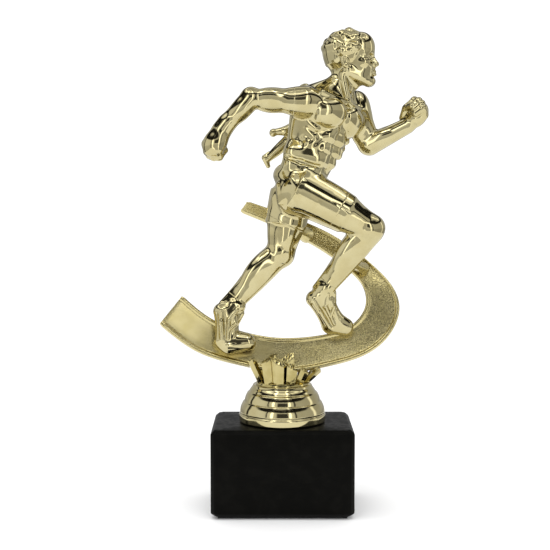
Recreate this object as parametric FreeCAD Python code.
import FreeCAD, Part
import math
import os

# Figure trophy: a running figure on a curved track band, carried by a crystal
# cluster and a round pedestal that a threaded rod clamps to a stone block.
#
# Frame: millimetres, +Z up. The origin is on the rod's axis, on the underside
# of the felt. The runner runs towards +X, and the runner's right side faces -Y.

V = FreeCAD.Vector
UP = V(0, 0, 1)
ORIGIN = V(0, 0, 0)

# ---- Driving dimensions ----------------------------------------------------

# Stone block and the felt under it.
BASE_LENGTH = 72.0
BASE_DEPTH = 52.0
BASE_TOP = 45.0
BASE_CHAMFER = 2.0
FELT_THICKNESS = 1.0
FELT_INSET = 1.5

# M6 rod with its washer and nuts. The nut's size is across its flats.
ROD_DIAMETER = 6.0
ROD_CORE = 4.9
ROD_PITCH = 1.0
ROD_BOTTOM = 5.0
ROD_TOP = 59.5
CLEARANCE_BORE = 6.6
NUT_FLATS = 10.0
NUT_HEIGHT = 5.0
WASHER_DIAMETER = 18.0
WASHER_THICKNESS = 1.6
COUNTERBORE_DIAMETER = 22.0
COUNTERBORE_TOP = 13.0

# Pedestal: radius and height of each ring of its outside, from the foot up.
PEDESTAL_TOP = 64.5
PEDESTAL_WALL = 2.2
PEDESTAL_OUTLINE = [
    (21.7, 45.0), (22.4, 45.7), (22.4, 49.0), (21.8, 49.7), (22.2, 50.4),
    (20.4, 55.4), (19.8, 55.7), (18.1, 60.2), (17.3, 60.6), (15.6, 63.2), (15.1, 64.5),
]
BOSS_RADIUS = 9.0
BOSS_FLOOR = 52.0
POCKET_CLEARANCE = 0.1
RIB_THICKNESS = 1.6
RIB_COUNT = 4
SPIGOT_RADIUS = 5.9
SPIGOT_BOTTOM = 60.5

# Crystals: bearing in degrees from the front (-Y) towards +X, radius of the
# foot, height, outward lean, half width, and fall of the top face.
DECK_RADIUS = 13.6
DECK_TOP = 66.0
CRYSTALS = [
    (-66, 11.6, 12.2, 5.6, 3.1, 1.5), (-38, 11.4, 13.0, 2.2, 2.9, 1.2),
    (-9, 10.6, 12.5, 1.6, 4.4, -2.6), (22, 11.2, 9.4, 2.6, 3.3, -1.6),
    (46, 11.4, 7.6, 3.4, 3.1, -1.0), (72, 12.0, 6.4, 5.8, 3.4, -1.4),
    (103, 12.0, 6.6, 5.6, 3.4, 1.0), (135, 11.4, 8.5, 3.0, 3.4, 1.6),
    (165, 11.0, 11.0, 1.8, 3.6, -1.5), (196, 11.0, 9.0, 2.2, 3.4, 1.4),
    (228, 11.4, 11.5, 3.0, 3.4, -1.2), (258, 11.6, 9.0, 3.4, 3.2, 1.0),
    (-45, 6.4, 14.2, 1.2, 2.8, 1.0), (20, 6.6, 13.8, 1.2, 4.0, 2.2),
]

# Track band: places of its inner and outer edge, from the near end, under the
# feet, round the right side and back to the far end.
TRACK_INNER = [
    (-52.2, 5.0, 109.6), (-37.2, 5.0, 97.6), (-18.0, 5.0, 90.0), (0.9, 5.0, 87.3),
    (20.8, 5.5, 88.8), (35.7, 6.0, 93.7), (42.0, 7.0, 100.4), (43.9, 8.5, 107.6),
    (41.8, 10.5, 115.4), (36.8, 13.0, 121.2), (25.9, 16.0, 129.8), (4.2, 20.0, 142.2),
    (-22.3, 23.0, 153.5),
]
TRACK_OUTER = [
    (-63.4, -2.0, 95.6), (-44.7, -2.0, 81.8), (-22.9, -2.0, 73.8), (0.8, -2.0, 70.8),
    (25.7, -1.5, 74.3), (45.9, 0.0, 82.1), (56.8, 3.0, 91.0), (61.2, 6.5, 103.0),
    (57.4, 11.0, 114.4), (49.1, 15.0, 123.5), (34.0, 19.0, 136.0), (9.1, 23.5, 149.4),
    (-18.2, 26.0, 159.3),
]
TRACK_THICKNESS = 3.0
TRACK_RIM = 0.12
TRACK_RIM_HEIGHT = 0.8

# Runner: the torso's level rings, from low to high. Each has its height, centre
# x and y, half width, half depth and turn of the width about +Z.
TORSO_RINGS = [
    (157.5, 7.0, 0.5, 13.0, 10.5, 112), (165.0, 9.0, 0.5, 16.5, 14.0, 108),
    (172.0, 10.2, 0.3, 15.0, 13.0, 98), (179.0, 13.3, 0.0, 14.2, 12.4, 80),
    (187.0, 20.0, 0.0, 19.0, 15.0, 60), (196.0, 22.4, 0.0, 22.0, 15.0, 47),
    (204.0, 24.0, 0.0, 21.0, 13.0, 43), (210.5, 25.5, 0.0, 14.0, 9.5, 43),
    (215.5, 27.0, 0.0, 8.4, 7.8, 43),
]
RING_POINTS = 12
HEAD_CENTRE = V(33.6, 0.0, 233.2)
HEAD_RADIUS = 13.3
JAW_CENTRE = V(39.2, 0.0, 224.4)
JAW_RADIUS = 8.4
NECK_FOOT = V(26.8, 0.5, 211.0)
NECK_TOP = V(33.0, 0.0, 224.0)
NECK_RADIUS = 7.2

RIGHT_HIP = V(10.9, -7.0, 162.9)
RIGHT_KNEE = V(44.6, -8.0, 145.0)
RIGHT_ANKLE = V(21.9, -2.5, 113.8)
RIGHT_HEEL = V(17.5, -2.0, 110.0)
RIGHT_BALL = V(25.6, 1.0, 96.8)
RIGHT_TOE = V(31.5, 2.0, 92.6)
LEFT_HIP = V(4.0, 7.0, 160.4)
LEFT_KNEE = V(-0.7, 5.0, 131.4)
LEFT_ANKLE = V(-25.0, 0.0, 104.2)
LEFT_HEEL = V(-30.0, -1.0, 102.2)
LEFT_BALL = V(-29.0, -3.0, 87.6)
LEFT_TOE = V(-18.4, -3.5, 87.0)

RIGHT_SHOULDER = V(10.1, -13.0, 208.0)
RIGHT_ELBOW = V(-15.8, -16.0, 209.4)
RIGHT_WRIST = V(-30.8, -15.0, 194.0)
RIGHT_HAND = V(-33.0, -15.0, 187.0)
LEFT_SHOULDER = V(38.4, 10.6, 205.4)
LEFT_ELBOW = V(44.9, 12.0, 187.2)
LEFT_WRIST = V(63.8, 6.0, 197.6)
LEFT_FIST = V(68.9, 4.0, 205.4)
HAND_RADIUS = 7.4
FIST_RADIUS = 7.8

# Distant runner, about a quarter of the size of the runner, on its peg.
SMALL_FOOT = V(-7.6, 20.0, 180.6)
SMALL_REAR_KNEE = V(3.6, 20.0, 188.8)
SMALL_HIP = V(9.0, 20.0, 193.6)
SMALL_CHEST = V(14.5, 20.0, 202.4)
SMALL_HEAD = V(18.0, 20.0, 209.4)
SMALL_FRONT_KNEE = V(17.0, 20.5, 190.0)
SMALL_FRONT_FOOT = V(12.5, 21.0, 182.0)
SMALL_REAR_ELBOW = V(1.8, 18.0, 196.4)
SMALL_REAR_FIST = V(-4.8, 18.0, 195.6)
SMALL_FRONT_ELBOW = V(21.0, 21.0, 197.0)
SMALL_FRONT_FIST = V(25.0, 20.5, 202.0)
SMALL_HEAD_RADIUS = 3.5
PEG_RADIUS = 2.0


# ---- Helpers ----------------------------------------------------------------

def only_solid(shape):
    """The one solid that a boolean result should hold."""
    if len(shape.Solids) != 1:
        raise ValueError("expected one solid, found %d" % len(shape.Solids))
    return shape.Solids[0]


def fused(solids):
    """One solid from solids that run into each other."""
    return only_solid(solids[0].multiFuse(solids[1:]).removeSplitter())


def turned(outline):
    """Solid of revolution about Z from a closed outline of radius and height."""
    points = [V(radius, 0, height) for radius, height in outline]
    face = Part.Face(Part.makePolygon(points + points[:1]))
    return face.revolve(ORIGIN, UP, 360)


def tube(radius, bottom, top):
    """Upright cylinder on the rod's axis."""
    return Part.makeCylinder(radius, top - bottom, V(0, 0, bottom))


def hexagon(flats, bottom, top):
    """Upright hexagonal prism on the rod's axis, with two flats facing +-Y."""
    radius = flats / math.sqrt(3)
    corners = [V(radius * math.cos(math.radians(60 * step)),
                 radius * math.sin(math.radians(60 * step)), bottom)
               for step in range(6)]
    face = Part.Face(Part.makePolygon(corners + corners[:1]))
    return face.extrude(V(0, 0, top - bottom))


def taper(start, end, radii):
    """Round bar from start to end, with its radius given at even steps."""
    axis = end - start
    step = axis.Length / (len(radii) - 1)
    outline = [(radius, index * step) for index, radius in enumerate(radii)]
    bar = turned([(0, 0)] + outline + [(0, axis.Length)])
    bar.Placement = FreeCAD.Placement(start, FreeCAD.Rotation(UP, axis))
    return bar


def limb(joints, radii):
    """Bars through the joints, joined by a ball a little proud of them at each joint."""
    pieces = []
    for start, end, bar in zip(joints, joints[1:], radii):
        pieces.append(taper(start, end, bar))
    for joint, bar in zip(joints, radii):
        pieces.append(Part.makeSphere(bar[0] * 1.04, joint))
    pieces.append(Part.makeSphere(radii[-1][-1] * 1.04, joints[-1]))
    return fused(pieces)


# ---- Base and its fastening -------------------------------------------------

def make_base_block():
    """Stone block with a through bore and a counterbore from below."""
    corner = V(-BASE_LENGTH / 2, -BASE_DEPTH / 2, FELT_THICKNESS)
    block = Part.makeBox(BASE_LENGTH, BASE_DEPTH, BASE_TOP - FELT_THICKNESS, corner)
    block = block.makeChamfer(BASE_CHAMFER, block.Edges)
    block = block.cut(tube(CLEARANCE_BORE / 2, 0, BASE_TOP + 1))
    return block.cut(tube(COUNTERBORE_DIAMETER / 2, 0, COUNTERBORE_TOP))


def make_base_felt():
    """Felt sheet glued under the block. It closes the counterbore."""
    inset = BASE_CHAMFER + FELT_INSET
    length = BASE_LENGTH - 2 * inset
    depth = BASE_DEPTH - 2 * inset
    return Part.makeBox(length, depth, FELT_THICKNESS, V(-length / 2, -depth / 2, 0))


def make_tie_rod():
    """Threaded rod, its thread drawn as rings of the same pitch and depth."""
    crest = ROD_DIAMETER / 2
    root = ROD_CORE / 2
    outline = [(0, ROD_BOTTOM), (root, ROD_BOTTOM)]
    turns = int((ROD_TOP - ROD_BOTTOM) / ROD_PITCH)
    for turn in range(turns):
        height = ROD_BOTTOM + turn * ROD_PITCH
        outline.append((crest, height + ROD_PITCH / 2))
        outline.append((root, height + ROD_PITCH))
    outline.append((root, ROD_TOP))
    outline.append((0, ROD_TOP))
    return turned(outline)


def make_nut(bottom):
    """Hexagon nut with its corners turned off at both ends."""
    top = bottom + NUT_HEIGHT
    corner = NUT_FLATS / math.sqrt(3)
    flat = NUT_FLATS / 2
    drop = (corner - flat) * math.tan(math.radians(30))
    envelope = turned([(0, bottom), (flat, bottom), (corner, bottom + drop),
                       (corner, top - drop), (flat, top), (0, top)])
    nut = hexagon(NUT_FLATS, bottom, top).common(envelope)
    return nut.cut(tube(ROD_DIAMETER / 2, bottom - 1, top + 1))


def make_base_washer():
    """Large washer against the roof of the counterbore."""
    bottom = COUNTERBORE_TOP - WASHER_THICKNESS
    disc = tube(WASHER_DIAMETER / 2, bottom, COUNTERBORE_TOP)
    return disc.cut(tube(CLEARANCE_BORE / 2, bottom - 1, COUNTERBORE_TOP + 1))


# ---- Pedestal and crystals --------------------------------------------------

def make_pedestal():
    """Hollow stepped riser with a deck, ribs and a boss that holds a nut."""
    outside = turned([(0, BASE_TOP)] + PEDESTAL_OUTLINE + [(0, PEDESTAL_TOP)])
    roof = PEDESTAL_TOP - PEDESTAL_WALL
    cavity_outline = [(radius - PEDESTAL_WALL, min(height, roof))
                      for radius, height in PEDESTAL_OUTLINE if height < roof]
    cavity = turned([(0, BASE_TOP)] + cavity_outline
                    + [(cavity_outline[-1][0], roof), (0, roof)])
    pieces = [outside.cut(cavity), tube(BOSS_RADIUS, BASE_TOP, roof + 0.5)]
    for rib in range(RIB_COUNT):
        blade = Part.makeBox(PEDESTAL_OUTLINE[-1][0] - BOSS_RADIUS + 6, RIB_THICKNESS,
                             roof - BASE_TOP - 0.5,
                             V(BOSS_RADIUS - 1, -RIB_THICKNESS / 2, BASE_TOP + 1))
        blade.rotate(ORIGIN, UP, 45 + rib * 360 / RIB_COUNT)
        pieces.append(blade.common(outside))
    riser = fused(pieces)
    riser = riser.cut(tube(CLEARANCE_BORE / 2, BASE_TOP - 1, PEDESTAL_TOP + 1))
    pocket_top = BOSS_FLOOR + NUT_HEIGHT + 1
    riser = riser.cut(hexagon(NUT_FLATS + POCKET_CLEARANCE, BOSS_FLOOR, pocket_top))
    return riser.cut(tube(SPIGOT_RADIUS + POCKET_CLEARANCE, pocket_top, PEDESTAL_TOP + 1))


def make_crystal(bearing, foot_radius, height, lean, half_width, fall):
    """Six-sided prism that leans outwards and is cut off at a slant."""
    angle = math.radians(bearing)
    outward = V(math.sin(angle), -math.cos(angle), 0)
    across = V(math.cos(angle), math.sin(angle), 0)
    foot = outward * foot_radius + V(0, 0, DECK_TOP - 0.8)
    axis = outward * lean + V(0, 0, height)
    bottom = []
    top = []
    for side in range(6):
        turn = math.radians(60 * side + 8 * bearing)
        spot = across * (half_width * math.cos(turn)) + outward * (2.6 * math.sin(turn))
        slope = fall * math.cos(turn) - 1.2 * math.sin(turn)
        bottom.append(foot + spot * 0.82)
        top.append(foot + spot + axis * ((height + slope) / height))
    rings = [Part.makePolygon(ring + ring[:1]) for ring in (bottom, top)]
    return Part.makeLoft(rings, True, True)


def make_crystal_cluster(track):
    """Deck with its spigot, the crystals, and a wedge that carries the track."""
    deck = turned([(0, PEDESTAL_TOP), (DECK_RADIUS, PEDESTAL_TOP),
                   (DECK_RADIUS - 0.6, DECK_TOP), (0, DECK_TOP)])
    spigot = tube(SPIGOT_RADIUS, SPIGOT_BOTTOM, PEDESTAL_TOP + 0.5)
    wedge_outline = [V(-8, -5, DECK_TOP - 1), V(-8, 9, DECK_TOP - 1), V(-8, 9, 85), V(-8, -2, 70.6)]
    wedge = Part.Face(Part.makePolygon(wedge_outline + wedge_outline[:1])).extrude(V(16, 0, 0))
    pieces = [deck, spigot, wedge]
    pieces += [make_crystal(*crystal) for crystal in CRYSTALS]
    return only_solid(fused(pieces).cut(track))


# ---- Track band -------------------------------------------------------------

def rail(fraction, lift):
    """Long edge of the band, at a fraction of its width and a lift off its middle."""
    inner = [V(*place) for place in TRACK_INNER]
    outer = [V(*place) for place in TRACK_OUTER]
    middle = [(start + end) * 0.5 for start, end in zip(inner, outer)]
    points = []
    for step, (start, end) in enumerate(zip(inner, outer)):
        before = middle[max(step - 1, 0)]
        after = middle[min(step + 1, len(middle) - 1)]
        normal = (end - start).cross(after - before).normalize()
        points.append(start + (end - start) * fraction + normal * lift)
    travel = [0.0]
    for before, after in zip(middle, middle[1:]):
        travel.append(travel[-1] + (after - before).Length)
    curve = Part.BSplineCurve()
    curve.interpolate(Points=points, Parameters=travel)
    return curve.toShape()


def make_band():
    """Band with a raised rim along both edges of the face that carries the feet."""
    half = TRACK_THICKNESS / 2
    floor = half - TRACK_RIM_HEIGHT
    section = [(0, -half), (0, half), (TRACK_RIM, half), (TRACK_RIM, floor),
               (1 - TRACK_RIM, floor), (1 - TRACK_RIM, half), (1, half), (1, -half)]
    rails = [rail(fraction, lift) for fraction, lift in section]
    faces = [Part.makeRuledSurface(one, two, 1) for one, two in zip(rails, rails[1:] + rails[:1])]
    for end in (0, -1):
        corners = [edge.Vertexes[end].Point for edge in rails]
        faces.append(Part.Face(Part.makePolygon(corners + corners[:1])))
    shell = Part.makeShell(faces)
    shell.sewShape()
    band = Part.makeSolid(shell)
    if band.Volume < 0:
        band.reverse()
    return band


def make_webs():
    """Short webs that tie the band's far part to the right shin and the left thigh."""
    shin_web = taper(V(33.0, -6.0, 128.5), V(42.5, 12.0, 123.5), [3.4, 2.6, 3.4])
    thigh_web = taper(V(4.0, 7.0, 145.0), V(13.0, 20.0, 141.0), [4.6, 3.6, 4.6])
    return [shin_web, thigh_web]


# ---- Runner -----------------------------------------------------------------

def torso_ring(height, x, y, half_width, half_depth, turn):
    """Level ellipse of the torso, its width turned about +Z, its seam always at +X."""
    points = []
    for step in range(RING_POINTS):
        bearing = 2 * math.pi * step / RING_POINTS
        along = math.cos(bearing - math.radians(turn)) / half_width
        across = math.sin(bearing - math.radians(turn)) / half_depth
        radius = 1 / math.hypot(along, across)
        points.append(V(x + radius * math.cos(bearing), y + radius * math.sin(bearing), height))
    curve = Part.BSplineCurve()
    curve.interpolate(Points=points, PeriodicFlag=True)
    return Part.Wire(curve.toShape())


def make_runner_body():
    """Head, neck, torso and legs with shoes."""
    torso = Part.makeLoft([torso_ring(*ring) for ring in TORSO_RINGS], True, False)
    neck = taper(NECK_FOOT, NECK_TOP, [NECK_RADIUS + 0.8, NECK_RADIUS, NECK_RADIUS])
    skull = Part.makeSphere(HEAD_RADIUS, HEAD_CENTRE)
    jaw = Part.makeSphere(JAW_RADIUS, JAW_CENTRE)
    right_leg = limb([RIGHT_HIP, RIGHT_KNEE, RIGHT_ANKLE],
                     [[12.3, 11.6, 9.9, 8.0], [7.6, 7.6, 6.6, 4.6]])
    right_shoe = limb([RIGHT_HEEL, RIGHT_BALL, RIGHT_TOE], [[5.4, 5.6, 4.6], [4.5, 3.2]])
    left_leg = limb([LEFT_HIP, LEFT_KNEE, LEFT_ANKLE],
                    [[11.0, 9.2, 7.8, 7.2], [6.8, 6.8, 5.4, 3.8]])
    left_shoe = limb([LEFT_HEEL, LEFT_BALL, LEFT_TOE], [[5.4, 5.6, 5.0], [4.9, 3.6]])
    head = fused([neck, skull, jaw])
    return fused([torso, left_leg, left_shoe, right_leg, right_shoe, head])


def make_right_arm():
    """Arm swung back, elbow high, hand relaxed."""
    arm = limb([RIGHT_SHOULDER, RIGHT_ELBOW, RIGHT_WRIST],
               [[8.0, 6.9, 6.0, 5.6], [5.4, 5.2, 3.9]])
    return fused([arm, Part.makeSphere(HAND_RADIUS, RIGHT_HAND)])


def make_left_arm():
    """Arm swung forward, with a closed fist."""
    arm = limb([LEFT_SHOULDER, LEFT_ELBOW, LEFT_WRIST],
               [[7.6, 6.8, 5.6], [5.2, 5.0, 3.5]])
    return fused([arm, Part.makeSphere(FIST_RADIUS, LEFT_FIST)])


def make_distant_runner():
    """Very small second runner, with the peg that holds it to the torso's back."""
    pieces = [
        limb([SMALL_HIP, SMALL_CHEST], [[3.6, 3.2, 4.0]]),
        limb([SMALL_HIP, SMALL_REAR_KNEE, SMALL_FOOT], [[2.9, 2.3], [1.6, 1.3]]),
        limb([SMALL_HIP, SMALL_FRONT_KNEE, SMALL_FRONT_FOOT], [[2.9, 2.3], [1.7, 1.4]]),
        limb([SMALL_CHEST, SMALL_REAR_ELBOW, SMALL_REAR_FIST], [[2.2, 1.6], [1.5, 1.3]]),
        limb([SMALL_CHEST, SMALL_FRONT_ELBOW, SMALL_FRONT_FIST], [[2.2, 1.6], [1.5, 1.3]]),
        taper(SMALL_CHEST, SMALL_HEAD, [1.9, 1.7]),
        Part.makeSphere(SMALL_HEAD_RADIUS, SMALL_HEAD + V(0.6, 0, 1.4)),
        taper(SMALL_CHEST, SMALL_CHEST + V(2, -14, -2), [PEG_RADIUS, PEG_RADIUS]),
    ]
    for foot in (SMALL_FOOT, SMALL_FRONT_FOOT):
        pieces.append(taper(foot + V(-1, 0, 1), foot + V(0.5, 0, -3.6), [1.9, 2.0, 1.3]))
    return fused(pieces)


# ---- Assembly ---------------------------------------------------------------

def make_trophy():
    """Every sub-part by name. Where two meet, one is cut back to the other's face."""
    band = make_band()
    body = only_solid(make_runner_body().cut(band))
    track = only_solid(fused([band] + make_webs()).cut(body))
    return {
        "base_block": make_base_block(),
        "base_felt": make_base_felt(),
        "tie_rod": make_tie_rod(),
        "base_washer": make_base_washer(),
        "base_nut": make_nut(COUNTERBORE_TOP - WASHER_THICKNESS - NUT_HEIGHT),
        "pedestal_nut": make_nut(BOSS_FLOOR),
        "pedestal": make_pedestal(),
        "crystal_cluster": make_crystal_cluster(track),
        "track_ribbon": track,
        "runner_body": body,
        "runner_right_arm": only_solid(make_right_arm().cut(body)),
        "runner_left_arm": only_solid(make_left_arm().cut(body)),
        "distant_runner": only_solid(make_distant_runner().cut(body)),
    }


def main():
    os.makedirs("parts", exist_ok=True)
    for name, shape in make_trophy().items():
        shape.exportStep("parts/" + name + ".step")
        print(name, "solids", len(shape.Solids), "valid", shape.isValid(),
              "volume", round(shape.Volume, 1), shape.BoundBox)


main()
